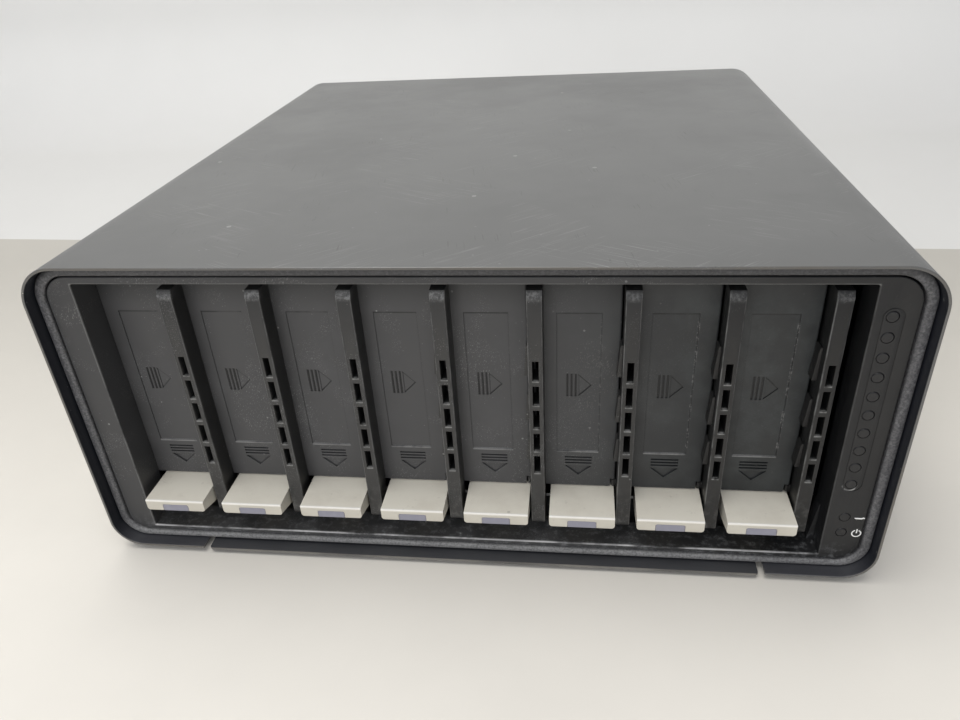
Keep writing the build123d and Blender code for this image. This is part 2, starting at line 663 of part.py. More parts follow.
rocker_pin, rocker_axis_depth = 1.0, panel_face - 4.0
frame_deep, frame_wall, frame_back = 16.0, 1.2, 2.0
with BuildPart() as switch_frame:
    with BuildSketch(facing(panel_face + flange_sheet)) as rim:
        with Locations((switch_x, above(switch_height))):
            Rectangle(switch_width + 2 * flange, switch_tall + 2 * flange)
        fillet(rim.vertices(), 1.0)
    extrude(amount=flange_sheet)
    with BuildSketch(facing(panel_face)):
        with Locations((switch_x, above(switch_height))):
            Rectangle(switch_width - 2 * body_play, switch_tall - 2 * body_play)
    extrude(amount=frame_deep)
    with BuildSketch(facing(panel_face + 1)):
        with Locations((switch_x, above(switch_height))):
            Rectangle(switch_width - 2 * frame_wall, switch_tall - 2 * frame_wall)
    extrude(amount=frame_deep + 1 - frame_back, mode=Mode.SUBTRACT)
    with BuildSketch(upright(switch_x - switch_width / 2)):
        with Locations(*side_view([(rocker_axis_depth, switch_height)])):
            Circle(rocker_pin + pin_play)
    extrude(amount=switch_width, mode=Mode.SUBTRACT)
keep(switch_frame, "switch_frame")

rocker_width, rocker_half, rocker_root, rocker_deep = switch_width - 3.2, 7.6, 4.0, 7.0
rocker_tip, rocker_bevel = 0.9, 0.3
with BuildPart() as switch_rocker:
    with BuildSketch(upright(switch_x - rocker_width / 2)):
        with BuildLine():
            Polyline(*side_view([(panel_face - rocker_deep, switch_height - rocker_root),
                                 (panel_face - body_play, switch_height - rocker_half),
                                 (panel_face + rocker_tip, switch_height - rocker_half + rocker_bevel),
                                 (panel_face - 3 * body_play, switch_height),
                                 (panel_face - body_play, switch_height + rocker_half),
                                 (panel_face - rocker_deep, switch_height + rocker_root)]), close=True)
        make_face()
    extrude(amount=rocker_width)
    with BuildSketch(upright(switch_x - switch_width / 2 + 2 * body_play)):
        with Locations(*side_view([(rocker_axis_depth, switch_height)])):
            Circle(rocker_pin)
    extrude(amount=switch_width - 4 * body_play)
keep(switch_rocker, "switch_rocker")

# ---- cooling fans: frames, rotors and wire guards ----
fan_size, fan_thick, fan_height = 92.0, 25.0, 76.0
fan_centres = (-22.0, 78.0)
fan_back = panel_face - 1.4
fan_bore, hub_radius, blade_count = 44.0, 18.5, 7
fan_hole_half, fan_screw_hole, fan_corner = 41.25, 2.1, 4.0
shaft_radius, strut_width, seat_sheet = 1.5, 4.0, 3.0
with BuildPart() as fan_frames:
    for centre in fan_centres:
        with BuildSketch(facing(fan_back)) as square:
            with Locations((centre, above(fan_height))):
                Rectangle(fan_size, fan_size)
            fillet(square.vertices(), fan_corner)
            with Locations((centre, above(fan_height))):
                Circle(fan_bore, mode=Mode.SUBTRACT)
                with GridLocations(2 * fan_hole_half, 2 * fan_hole_half, 2, 2):
                    Circle(fan_screw_hole, mode=Mode.SUBTRACT)
        extrude(amount=fan_thick)
        # motor seat on four struts at the back
        with BuildSketch(facing(fan_back)):
            with Locations((centre, above(fan_height))):
                Circle(hub_radius)
                with PolarLocations(0, 4, start_angle=45):
                    with Locations((fan_bore / 2, 0)):
                        Rectangle(fan_bore + 2, strut_width)
        extrude(amount=seat_sheet)
        with BuildSketch(facing(fan_back)):
            with Locations((centre, above(fan_height))):
                Circle(shaft_radius + pin_play)
        extrude(amount=seat_sheet, mode=Mode.SUBTRACT)
keep(fan_frames, "fan_frames")


blade_chord, blade_sheet, blade_pitch_deg = 22.0, 1.6, 35.0
hub_gap, hub_deep, hub_rounding, hub_middle_depth = 0.6, 19.0, 1.5, fan_back - 13.3


def build_rotor(centre, name):
    """Hub cup, shaft and pitched blades, turning about Y."""
    hub_middle = Vector(centre, behind(hub_middle_depth), above(fan_height))
    with BuildPart() as rotor:
        with BuildSketch(facing(fan_back - seat_sheet - hub_gap)):
            with Locations((centre, above(fan_height))):
                Circle(hub_radius - 0.5)
        extrude(amount=hub_deep)
        fillet(rotor.faces().sort_by(Axis.Y)[0].edges(), hub_rounding)
        with BuildSketch(facing(fan_back - 0.4)):
            with Locations((centre, above(fan_height))):
                Circle(shaft_radius)
        extrude(amount=4.0)
        for index in range(blade_count):
            outward = Vector(1, 0, 0).rotate(Axis.Y, 360 / blade_count * index)
            root = Plane(origin=hub_middle + outward * (hub_radius - 2), x_dir=(0, 1, 0), z_dir=outward)
            with BuildSketch(root):
                Rectangle(blade_chord, blade_sheet, rotation=blade_pitch_deg)
            extrude(amount=fan_bore - 2.0 - (hub_radius - 2))
    keep(rotor, name)


for number, fan_x in enumerate(fan_centres, start=1):
    build_rotor(fan_x, f"fan_rotor_{number}")

guard_wire = 0.8
guard_stack = 2 * guard_wire
guard_rings, guard_strip, guard_strip_half, guard_eye = (12.0, 21.0, 30.0, 39.0), 1.5, 0.75, 4.0
with BuildPart() as finger_guards:
    for centre in fan_centres:
        ring_plane = facing(rear_panel_depth + guard_wire)
        for radius in guard_rings:
            with Locations(ring_plane * Location((centre, above(fan_height), 0))):
                Torus(radius, guard_wire)
        for angle in (45, 135):
            with BuildSketch(ring_plane):
                with Locations((centre, above(fan_height))):
                    Rectangle(2 * fan_hole_half * 2 ** 0.5, guard_strip, rotation=angle)
            extrude(amount=guard_strip_half, both=True)
        with BuildSketch(ring_plane):
            with Locations((centre, above(fan_height))):
                with GridLocations(2 * fan_hole_half, 2 * fan_hole_half, 2, 2):
                    Circle(guard_eye)
        extrude(amount=guard_strip_half, both=True)
        with BuildSketch(facing(rear_panel_depth + 3)):
            with Locations((centre, above(fan_height))):
                with GridLocations(2 * fan_hole_half, 2 * fan_hole_half, 2, 2):
                    Circle(fan_screw_hole)
        extrude(amount=6, mode=Mode.SUBTRACT)
keep(finger_guards, "finger_guards")

# ---- rear panel: a tray with flanges under the shell's top and sides ----
panel_sheet, tray_deep, port_play = 1.2, 10.0, 0.3
side_slot_x, side_slot_height, side_slot_pitch, side_slot_length, side_slot_width = 86.0, 14.0, 7.0, 12.0, 3.0
port_low, port_back = board_low + board_thick, rear_panel_depth - panel_sheet
network_xs, network_width, network_tall = (-40.0, -20.0), 16.0, 13.5
usb_x, usb_width, usb_tall = 4.0, 12.2, 11.0
panel_outside = outline(-half_width + shell_sheet + side_gap, half_width - shell_sheet - side_gap,
                        rail_top + 0.2, shell_height - shell_sheet - side_gap, 10.0, 13.8)
panel_inside = outline(-half_width + shell_sheet + side_gap + panel_sheet,
                       half_width - shell_sheet - side_gap - panel_sheet,
                       rail_top + 0.2 + panel_sheet,
                       shell_height - shell_sheet - side_gap - panel_sheet, 8.8, 12.6)
panel_screws = [(side * 148.6, height) for side in (-1, 1) for height in (22.0, 108.0)]
panel_screws += [(x, 122.5) for x in (-110.0, 28.0, 136.0)]
with BuildPart() as rear_panel:
    with BuildSketch(facing(rear_panel_depth)):
        add(panel_outside)
    extrude(amount=panel_sheet)
    with BuildSketch(facing(rear_panel_depth)):
        add(panel_outside)
        add(panel_inside, mode=Mode.SUBTRACT)
    extrude(amount=tray_deep)
    with BuildSketch(facing(rear_panel_depth + 1)):
        with Locations(*front_view([(x, fan_height) for x in fan_centres])):
            Circle(fan_bore - 1.0)
            with GridLocations(2 * fan_hole_half, 2 * fan_hole_half, 2, 2):
                Circle(fan_screw_hole)
        with Locations((inlet_x, above(inlet_height))):
            Rectangle(inlet_width, inlet_tall)
        with Locations((switch_x, above(switch_height))):
            Rectangle(switch_width, switch_tall)
        with Locations(*front_view([(x, port_low + network_tall / 2) for x in network_xs])):
            Rectangle(network_width + 2 * port_play, network_tall + 2 * port_play)
        with Locations((usb_x, above(port_low + usb_tall / 2))):
            Rectangle(usb_width + 2 * port_play, usb_tall + 2 * port_play)
        # exhaust holes over the power supply, and a row of air slots beside the ports
        with Locations((psu_x, above(exhaust_height))):
            with HexLocations(exhaust_pitch, exhaust_rows, exhaust_rows):
                RegularPolygon(exhaust_cell, 6)
        with Locations((side_slot_x, above(side_slot_height))):
            with GridLocations(side_slot_pitch, 0, 14, 1):
                SlotOverall(side_slot_length, side_slot_width, rotation=90)
        with Locations(*front_view(panel_screws)):
            Circle(screw_thread)
    extrude(amount=4, mode=Mode.SUBTRACT)
keep(rear_panel, "rear_panel")

# ---- sockets on the main board that show through the rear panel ----
network_deep, network_mouth_deep, network_mouth_half, network_latch_half = 20.0, 13.0, 5.9, 3.2
network_mouth_low, network_mouth_top, network_latch_top = 1.6, 9.8, 11.8
usb_deep, usb_mouth_width, usb_mouth_tall, usb_cut = 16.0, 8.6, 8.0, 1.4
tongue_half_width, tongue_half_height, tongue_short = 2.6, 1.4, 0.6
usb_middle = port_low + usb_tall / 2
with BuildPart() as rear_sockets:
    for x in network_xs:
        block(x - network_width / 2, x + network_width / 2, port_back - network_deep,
              rear_panel_depth + port_play, port_low, port_low + network_tall)
        block(x - network_mouth_half, x + network_mouth_half, port_back - network_mouth_deep,
              rear_panel_depth + 1, port_low + network_mouth_low, port_low + network_mouth_top,
              mode=Mode.SUBTRACT)
        block(x - network_latch_half, x + network_latch_half, port_back - network_mouth_deep,
              rear_panel_depth + 1, port_low + network_mouth_top - 0.1, port_low + network_latch_top,
              mode=Mode.SUBTRACT)
    block(usb_x - usb_width / 2, usb_x + usb_width / 2, port_back - usb_deep,
          rear_panel_depth + port_play, port_low, port_low + usb_tall)
    with BuildSketch(facing(rear_panel_depth + 1)) as hollow:
        with Locations((usb_x, above(usb_middle))):
            Rectangle(usb_mouth_width, usb_mouth_tall)
        chamfer(hollow.vertices().group_by(Axis.Y)[-1], usb_cut)
    extrude(amount=usb_deep - 5, mode=Mode.SUBTRACT)
    block(usb_x - tongue_half_width, usb_x + tongue_half_width,
          port_back - usb_deep + 5, port_back - tongue_short,
          usb_middle - tongue_half_height, usb_middle + tongue_half_height)
keep(rear_sockets, "rear_sockets")

# ---- screws: rear panel, fans and base ----
screw_head, screw_head_height, fan_head_height = 2.9, 1.8, 1.4
panel_screw_length, fan_screw_length, base_screw_length = 7.0, 12.0, 3.6
fan_thread, cross_length, cross_width, cross_cut, base_head_height = 2.0, 3.4, 0.8, 0.8, 0.2
with BuildPart() as screws:
    with BuildSketch(facing(rear_panel_depth + screw_head_height)):
        with Locations(*front_view(panel_screws)):
            Circle(screw_head)
    extrude(amount=screw_head_height)
    with BuildSketch(facing(rear_panel_depth)):
        with Locations(*front_view(panel_screws)):
            Circle(screw_thread)
    extrude(amount=panel_screw_length)
    fan_screws = [(x + side * fan_hole_half, fan_height + up * fan_hole_half)
                  for x in fan_centres for side in (-1, 1) for up in (-1, 1)]
    with BuildSketch(facing(rear_panel_depth + guard_stack + fan_head_height)):
        with Locations(*front_view(fan_screws)):
            Circle(screw_head)
    extrude(amount=fan_head_height)
    with BuildSketch(facing(rear_panel_depth + guard_stack)):
        with Locations(*front_view(fan_screws)):
            Circle(fan_thread)
    extrude(amount=fan_screw_length)
    with BuildSketch(facing(rear_panel_depth + 6)):
        with Locations(*front_view(panel_screws + fan_screws)):
            Rectangle(cross_length, cross_width)
            Rectangle(cross_width, cross_length)
    extrude(amount=6 - cross_cut, mode=Mode.SUBTRACT)
    with BuildSketch(flat(plate_low - base_head_height)):
        with Locations(*[(x, behind(depth)) for x, depth in base_screws]):
            Circle(screw_head)
    extrude(amount=base_head_height - plate_low)
    with BuildSketch(flat(0)):
        with Locations(*[(x, behind(depth)) for x, depth in base_screws]):
            Circle(screw_thread)
    extrude(amount=base_screw_length)
keep(screws, "screws")

# ---- export ----
os.makedirs("parts", exist_ok=True)
for piece in finished:
    export_step(piece, f"parts/{piece.label}.step")
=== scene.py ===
"""Looks for the network storage enclosure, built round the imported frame. Metres, in the row's frame."""
import json
import math

import bmesh
import bpy
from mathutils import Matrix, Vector


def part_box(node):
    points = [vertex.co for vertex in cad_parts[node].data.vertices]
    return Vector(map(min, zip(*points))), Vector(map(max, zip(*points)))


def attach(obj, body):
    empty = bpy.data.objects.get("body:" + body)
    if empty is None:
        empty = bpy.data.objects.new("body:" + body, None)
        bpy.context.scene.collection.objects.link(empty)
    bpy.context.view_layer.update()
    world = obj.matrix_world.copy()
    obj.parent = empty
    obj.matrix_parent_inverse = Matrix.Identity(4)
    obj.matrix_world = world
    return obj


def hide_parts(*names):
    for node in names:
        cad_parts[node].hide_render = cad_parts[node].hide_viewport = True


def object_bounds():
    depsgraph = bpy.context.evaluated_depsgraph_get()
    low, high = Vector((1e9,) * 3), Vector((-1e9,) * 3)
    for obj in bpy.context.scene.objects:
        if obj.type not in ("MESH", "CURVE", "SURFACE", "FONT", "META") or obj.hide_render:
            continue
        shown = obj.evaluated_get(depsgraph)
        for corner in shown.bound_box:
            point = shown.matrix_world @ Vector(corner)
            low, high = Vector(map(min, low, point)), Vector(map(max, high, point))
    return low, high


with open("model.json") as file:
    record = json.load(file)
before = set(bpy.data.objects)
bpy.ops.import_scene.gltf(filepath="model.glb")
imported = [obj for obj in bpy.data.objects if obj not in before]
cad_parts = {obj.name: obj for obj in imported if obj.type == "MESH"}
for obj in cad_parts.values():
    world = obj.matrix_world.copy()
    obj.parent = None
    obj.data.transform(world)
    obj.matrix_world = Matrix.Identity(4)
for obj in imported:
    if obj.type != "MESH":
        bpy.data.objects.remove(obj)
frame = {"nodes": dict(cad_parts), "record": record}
cad_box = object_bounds()
nodes = frame["nodes"]
mm = 0.001
bays = range(1, 9)

# measures that the CAD has too, for wear and painted light that lie along its edges
foot_height = 2.4 * mm
bay_width = 28.0 * mm
slots_middle, slot_pitch, slot_height = 63.65 * mm, 10.52 * mm, 8.35 * mm    # above the feet
opening_left, opening_right = -138.4 * mm, 135.0 * mm
opening_low, opening_high = 8.95 * mm, 123.2 * mm
last_lens_x, last_lens_z = 140.4 * mm, 43.5 * mm
label_shift, label_half = -1.4 * mm, 8.1 * mm       # across, from the middle of the bay
label_low, label_high = 44.8 * mm, 105.7 * mm


# ---------------------------------------------------------------- material building
class Paint:
    """One procedural material. Patterns are laid in the row's frame, so they ride with their piece."""

    def __init__(self, name, color, **sockets):
        self.material = bpy.data.materials.new(name)
        self.material.use_nodes = True
        self.tree = self.material.node_tree
        self.shader = self.tree.nodes["Principled BSDF"]
        self.set("Base Color", (*color, 1.0))
        for socket, value in sockets.items():
            self.set(socket, value)
        coordinate = self.tree.nodes.new("ShaderNodeTexCoord")
        self.place = coordinate.outputs["Object"]
        self.material.diffuse_color = (*color, 1.0)

    def set(self, socket, value):
        """Puts a number, a colour or another node's output on the shader."""
        self._feed(self.shader.inputs[socket], value)

    def _feed(self, socket, value):
        if isinstance(value, bpy.types.NodeSocket):
            self.tree.links.new(value, socket)
        else:
            socket.default_value = value

    def _node(self, kind, inputs, **settings):
        node = self.tree.nodes.new(kind)
        for key, value in settings.items():
            setattr(node, key, value)
        for key, value in inputs.items():
            self._feed(node.inputs[key], value)
        return node

    # ---- patterns
    def stretched(self, scale, turn=(0, 0, 0)):
        """The row's coordinates, turned and then scaled."""
        inputs = {"Vector": self.place, "Rotation": turn}
        turned = self._node("ShaderNodeMapping", inputs).outputs[0]
        return self._node("ShaderNodeMapping", {"Vector": turned, "Scale": scale}).outputs[0]

    def noise(self, size, detail=2.0, rough=0.5, place=None):
        """Cloudy pattern, 0 to 1, with blotches about this large."""
        inputs = {"Vector": place or self.place, "Scale": 1 / size, "Detail": detail,
                  "Roughness": rough}
        return self._node("ShaderNodeTexNoise", inputs).outputs["Fac"]

    def cells(self, size, output="Distance", feature="F1"):
        """Voronoi cells about this large."""
        inputs = {"Vector": self.place, "Scale": 1 / size}
        return self._node("ShaderNodeTexVoronoi", inputs, feature=feature).outputs[output]

    # ---- arithmetic
    def ramp(self, value, low, high, out_low=0.0, out_high=1.0):
        """Maps low..high smoothly to out_low..out_high, clamped."""
        inputs = {"Value": value, "From Min": low, "From Max": high,
                  "To Min": out_low, "To Max": out_high}
        return self._node("ShaderNodeMapRange", inputs, interpolation_type="SMOOTHSTEP").outputs[0]

    def calc(self, operation, first, second=0.0):
        return self._node("ShaderNodeMath", {0: first, 1: second}, operation=operation).outputs[0]

    def times(self, first, *others):
        """Product of masks and numbers."""
        for other in others:
            first = self.calc("MULTIPLY", first, other)
        return first

    def minus(self, value, number):
        return self.calc("SUBTRACT", value, number)

    def off(self, value, at):
        """How far a value is from a number, on either side."""
        return self.calc("ABSOLUTE", self.minus(value, at))

    def off_nearest(self, value, first, pitch):
        """How far past, or short of, the nearest of first, first + pitch, first + 2 pitch..."""
        moved = self.minus(value, first - 0.5 * pitch)
        return self.minus(self.calc("FLOORED_MODULO", moved, pitch), 0.5 * pitch)

    def part_of(self, vector, channel):
        """Channel X, Y or Z of a vector or a colour."""
        return self._node("ShaderNodeSeparateXYZ", {0: vector}).outputs[channel]

    def along(self, axis):
        """The place on the row's X, Y or Z axis."""
        return self.part_of(self.place, axis)

    def mix(self, factor, first, second):
        """Blends two colours."""
        node = self._node("ShaderNodeMix", {}, data_type="RGBA")
        self._feed(node.inputs[0], factor)
        for socket, value in ((6, first), (7, second)):
            if not isinstance(value, bpy.types.NodeSocket):
                value = (*value[:3], 1.0)
            self._feed(node.inputs[socket], value)
        return node.outputs[2]

    # ---- layers
    def color(self):
        """What feeds the base colour now."""
        socket = self.shader.inputs["Base Color"]
        return socket.links[0].from_socket if socket.links else tuple(socket.default_value)

    def cover(self, factor, color):
        """Lays a colour over the present one where factor is 1."""
        self.set("Base Color", self.mix(factor, self.color(), color))

    def blotches(self, pattern, low, high, keep, color):
        """Lays a colour where a pattern rises from low to high."""
        self.cover(self.ramp(pattern, low, high, 0.0, keep), color)

    def gloss(self, pattern, low, high, start=0.3, stop=0.7):
        """Roughness from low to high as a pattern rises."""
        self.set("Roughness", self.ramp(pattern, start, stop, low, high))

    def bump(self, height, depth, strength):
        """Raises the surface by depth where height is 1, on top of any bump that is there."""
        socket = self.shader.inputs["Normal"]
        inputs = {"Height": height, "Distance": depth, "Strength": strength}
        if socket.links:
            inputs["Normal"] = socket.links[0].from_socket
        self.set("Normal", self._node("ShaderNodeBump", inputs).outputs[0])

    def texture(self, size, depth, strength):
        """Fine raised texture all over."""
        self.bump(self.noise(size), depth, strength)

    # ---- wear and painted light that several materials share
    def specks(self, size, share, color, keep):
        """Dust: a small dot in this share of the cells."""
        distance = self.cells(size)
        chosen = self.part_of(self.cells(size, output="Color"), "X")
        dot = self.calc("LESS_THAN", distance, 0.16)
        shown = self.calc("LESS_THAN", chosen, share)
        self.cover(self.times(dot, shown, keep), color)

    def scratches(self, length, width, color, keep, turn=(0.3, 0.2, 0.7), patch=0.56):
        """Hair scratches: needles of noise far longer than wide, only in some patches."""
        scale = (1 / length, 1 / width, 1 / width)
        needle = self.noise(1.0, 0.0, 0.5, self.stretched(scale, turn))
        mark = self.ramp(needle, 0.70, 0.75)
        where = self.ramp(self.noise(length * 1.3, 1.0), patch, patch + 0.06)
        self.cover(self.times(mark, where, keep), color)

    def near(self, axis, at, reach):
        """1 on a plane across one axis, falling to 0 this far from it."""
        return self.ramp(self.off(self.along(axis), at), 0.4 * reach, reach, 1.0, 0.0)

    def within(self, axis, low, high):
        """1 between two coordinates on one axis, with soft ends."""
        value, soft = self.along(axis), 0.3 * mm
        return self.times(self.ramp(value, low - soft, low + soft),
                          self.ramp(value, high - soft, high + soft, 1.0, 0.0))

    def wear_and_light_line(self, axis, at, reach, color, keep, where, grain):
        """A line along a straight edge at one coordinate, where the mask allows it; used for rubbed wear,
        painted highlights and painted shade.
        """
        broken = self.ramp(self.noise(grain, 4.0, 0.7), 0.30, 0.58)
        self.cover(self.times(self.near(axis, at, reach), broken, where, keep), color)

    def crevice_shade(self, reach, color):
        """Painted shade that darkens corners, grooves and seams narrower than this, from ambient
        occlusion.
        """
        node = self._node("ShaderNodeAmbientOcclusion", {"Distance": reach},
                          only_local=True, samples=6)
        self.cover(self.ramp(node.outputs["AO"], 0.35, 0.92, 0.8, 0.0), color)


# ---------------------------------------------------------------- materials, one function each
def powder_coat():
    """Satin black coat on steel: orange peel, rubbed patches, dust, scratches, worn mouth."""
    paint = Paint("powder_coat", (0.076, 0.077, 0.0765), Roughness=0.36)
    paint.set("Specular IOR Level", 1.0)
    paint.gloss(paint.noise(0.09, 4.0, 0.6), 0.31, 0.42, 0.3, 0.75)
    paint.blotches(paint.noise(0.05, 5.0, 0.65), 0.5, 0.8, 0.22, (0.085, 0.085, 0.085))
    pale = (0.24, 0.24, 0.235)
    paint.scratches(0.05, 0.00035, pale, 0.5, (0.0, 0.02, 0.5), 0.58)
    paint.scratches(0.03, 0.0003, pale, 0.4, (0.02, 0.0, -0.7), 0.56)
    paint.scratches(0.012, 0.0005, (0.02, 0.02, 0.02), 0.6, (0.0, 0.03, 1.4), 0.6)
    paint.specks(0.006, 0.012, (0.36, 0.36, 0.35), 0.5)
    paint.specks(0.0024, 0.018, (0.3, 0.3, 0.29), 0.3)
    depth = paint.along("Y")
    mouth = cad_box[0].y
    near_edge = paint.ramp(depth, mouth + 0.2 * mm, mouth + 1.0 * mm, 1.0, 0.0)
    flaked = paint.ramp(paint.noise(0.007, 4.0, 0.7), 0.66, 0.70)
    rim = paint.ramp(depth, mouth + 0.10 * mm, mouth + 0.32 * mm, 1.0, 0.0)
    worn = paint.ramp(paint.noise(0.05, 4.0, 0.65), 0.38, 0.62, 0.12, 0.75)
    paint.cover(paint.times(rim, worn, 0.75), (0.085, 0.07, 0.05))
    bare = paint.times(near_edge, flaked)
    paint.cover(bare, (0.46, 0.45, 0.42))
    paint.set("Metallic", paint.times(bare, 0.6))
    paint.texture(0.0009, 0.015 * mm, 0.5)
    paint.bump(paint.noise(0.08, 1.0), 0.2 * mm, 0.2)
    return paint.material


def shell_inside_coat():
    """The sheet's inner face, which shows as a dark blue-black band round the mouth."""
    paint = Paint("shell_inside_coat", (0.012, 0.0135, 0.018), Roughness=0.34)
    paint.gloss(paint.noise(0.02, 3.0), 0.30, 0.46)
    paint.blotches(paint.noise(0.006, 5.0, 0.7), 0.6, 0.8, 0.35, (0.06, 0.06, 0.062))
    ground = cad_box[0].z
    low_down = paint.ramp(paint.along("Z"), ground + 4 * mm, ground + 12 * mm, 1.0, 0.0)
    paint.cover(paint.times(low_down, 0.5), (0.06, 0.06, 0.066))
    paint.specks(0.003, 0.04, (0.3, 0.3, 0.29), 0.35)
    paint.texture(0.0009, 0.015 * mm, 0.5)
    return paint.material


def panel_coat():
    """The same coat where it is less worn: base plate and rear panel."""
    paint = Paint("panel_coat", (0.04, 0.04, 0.041), Roughness=0.46)
    paint.gloss(paint.noise(0.04, 3.0), 0.40, 0.54)
    paint.specks(0.006, 0.10, (0.25, 0.25, 0.24), 0.4)
    mouth = cad_box[0].y
    depth = paint.along("Y")
    paint.cover(paint.ramp(depth, mouth + 8 * mm, mouth + 14 * mm, 1.0, 0.0), (0.038, 0.039, 0.043))
    rim = paint.ramp(depth, mouth + 0.15 * mm, mouth + 0.45 * mm, 1.0, 0.0)
    worn = paint.ramp(paint.noise(0.03, 3.0, 0.6), 0.35, 0.65, 0.35, 0.8)
    paint.cover(paint.times(rim, worn), (0.20, 0.19, 0.17))
    paint.texture(0.0009, 0.015 * mm, 0.5)
    return paint.material


def grained_plastic():
    """Trim ring: coarse spark-eroded grain with lighter glints, painted lighter low down where it faces
    the light, and painted shade on top under the shell's overhang.
    """
    paint = Paint("grained_plastic", (0.12, 0.12, 0.128), Roughness=0.5)
    grain = paint.noise(0.0008, 2.0, 0.6)
    paint.set("Base Color", paint.mix(paint.ramp(grain, 0.38, 0.64), (0.052, 0.052, 0.055),
                                      (0.108, 0.107, 0.111)))
    glint = paint.part_of(paint.cells(0.0007, output="Color"), "Y")
    paint.blotches(glint, 0.86, 0.96, 0.4, (0.20, 0.20, 0.205))
    paint.blotches(paint.noise(0.02, 4.0, 0.6), 0.56, 0.75, 0.35, (0.2, 0.2, 0.2))
    ground = cad_box[0].z
    # painted light: the lower band faces up to the light, so it is painted paler through the grain, less
    # at the right end
    lit_low_down = paint.times(paint.ramp(paint.along("Z"), ground + 6 * mm, ground + 14 * mm, 1.0, 0.0),
                        paint.ramp(paint.along("X"), 0.09, 0.13, 1.0, 0.55),
                        paint.ramp(grain, 0.3, 0.6, 0.22, 0.52))
    paint.cover(lit_low_down, (0.29, 0.29, 0.285))
    # painted shade on the top band, under the shell's overhang
    paint.blotches(paint.along("Z"), 125.5 * mm, 127.5 * mm, 0.6, (0.026, 0.026, 0.028))
    paint.bump(grain, 0.05 * mm, 0.6)
    return paint.material


def smooth_plastic(name, color, rough, dust, wear_and_painted_light):
    """Moulded charcoal plastic: fine spark finish, handling marks, dust, a few pale scratches and painted
    shade in its crevices.
    """
    paint = Paint(name, color, Roughness=rough)
    cloud = paint.noise(0.03, 4.0, 0.6)
    paint.gloss(cloud, rough - 0.06, rough + 0.08)
    lighter = tuple(c * 1.45 for c in color)
    paint.blotches(cloud, 0.45, 0.8, 0.6, lighter)
    paint.specks(0.0026, dust * 0.25, (0.34, 0.34, 0.33), 0.5)
    paint.specks(0.0011, dust * 0.3, (0.3, 0.3, 0.29), 0.3)
    paint.scratches(0.02, 0.00022, (0.24, 0.24, 0.235), 0.5, (0.0, 1.2, 0.25), 0.54)
    paint.scratches(0.012, 0.00018, (0.24, 0.24, 0.235), 0.45, (0.0, 0.6, -0.3), 0.56)
    wear_and_painted_light(paint)
    # painted shade in corners, grooves and seams
    paint.crevice_shade(0.7 * mm, (0.008, 0.008, 0.0085))
    paint.texture(0.0004, 0.008 * mm, 0.6)
    return paint.material


def nose_scuffs_and_painted_light(paint):
    """Dividers: painted shade to the right and behind the nose, scuffed bevel fainter to the right,
    rubbed edges with a painted highlight, painted highlights on the slot ledges, dirt low down.
    """
    # painted shade: darker towards the right
    paint.blotches(paint.along("X"), 0.0, 0.12, 0.9, (0.0105, 0.0103, 0.0101))
    low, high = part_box("bay_divider_1")
    height, depth = paint.along("Z"), paint.along("Y")
    bevel = high.z - 5.4 * mm
    at_front = paint.ramp(depth, low.y + 2 * mm, low.y + 5 * mm, 1.0, 0.0)
    at_top = paint.times(paint.ramp(height, bevel - 2.2 * mm, bevel - 0.3 * mm),
                         paint.ramp(height, bevel + 1.0 * mm, bevel + 2.6 * mm, 1.0, 0.35))
    marks = paint.ramp(paint.noise(0.0013, 5.0, 0.75), 0.42, 0.64, 0.2, 1.0)
    fainter = paint.ramp(paint.along("X"), -0.02, 0.10, 0.6, 0.32)
    paint.cover(paint.times(at_front, at_top, marks, fainter), (0.30, 0.30, 0.295))
    at_foot = paint.ramp(height, low.z, low.z + 24 * mm, 1.0, 0.0)
    dirt_and_shade = paint.ramp(paint.noise(0.0035, 5.0, 0.7), 0.45, 0.68)
    paint.cover(paint.times(at_front, at_foot, dirt_and_shade, 0.4), (0.17, 0.165, 0.155))
    # the nose repeats with the bays: across it, from its left edge
    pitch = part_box("bay_divider_2")[0].x - low.x
    width = pitch - bay_width
    in_nose = paint.off_nearest(paint.along("X"), high.x - width, pitch)
    at_nose = paint.ramp(depth, low.y + 0.3 * mm, low.y + 0.7 * mm, 1.0, 0.0)
    slot_mouth = paint.times(paint.calc("LESS_THAN", paint.off(in_nose, width / 2), 1.3 * mm),
                             paint.ramp(depth, low.y + 0.9 * mm, low.y + 1.6 * mm, 1.0, 0.0))
    # painted shade on the sides behind the nose
    shaded_behind_nose = paint.times(paint.ramp(depth, low.y + 0.7 * mm, low.y + 1.7 * mm),
                              paint.calc("GREATER_THAN", in_nose, -0.1 * mm))
    paint.cover(paint.times(shaded_behind_nose, 0.75), (0.007, 0.0075, 0.008))
    # painted highlight on the lit ledge under each slot
    for step in range(-2, 3):
        ledge = slots_middle + slot_pitch * step - slot_height / 2 + foot_height
        paint.wear_and_light_line("Z", ledge - 0.15 * mm, 0.5 * mm, (0.30, 0.30, 0.29), 0.55, slot_mouth, 0.003)
    # pale lines on the nose's two edges: rubbed wear with a painted highlight, stronger on the left
    for edge, keep in ((0.0, 0.5), (width, 0.3)):
        pale_edge = paint.ramp(paint.off(in_nose, edge), 0.15 * mm, 0.5 * mm, 1.0, 0.0)
        broken = paint.ramp(paint.noise(0.006, 4.0, 0.65), 0.3, 0.6)
        paint.cover(paint.times(pale_edge, broken, at_nose, keep), (0.22, 0.22, 0.215))


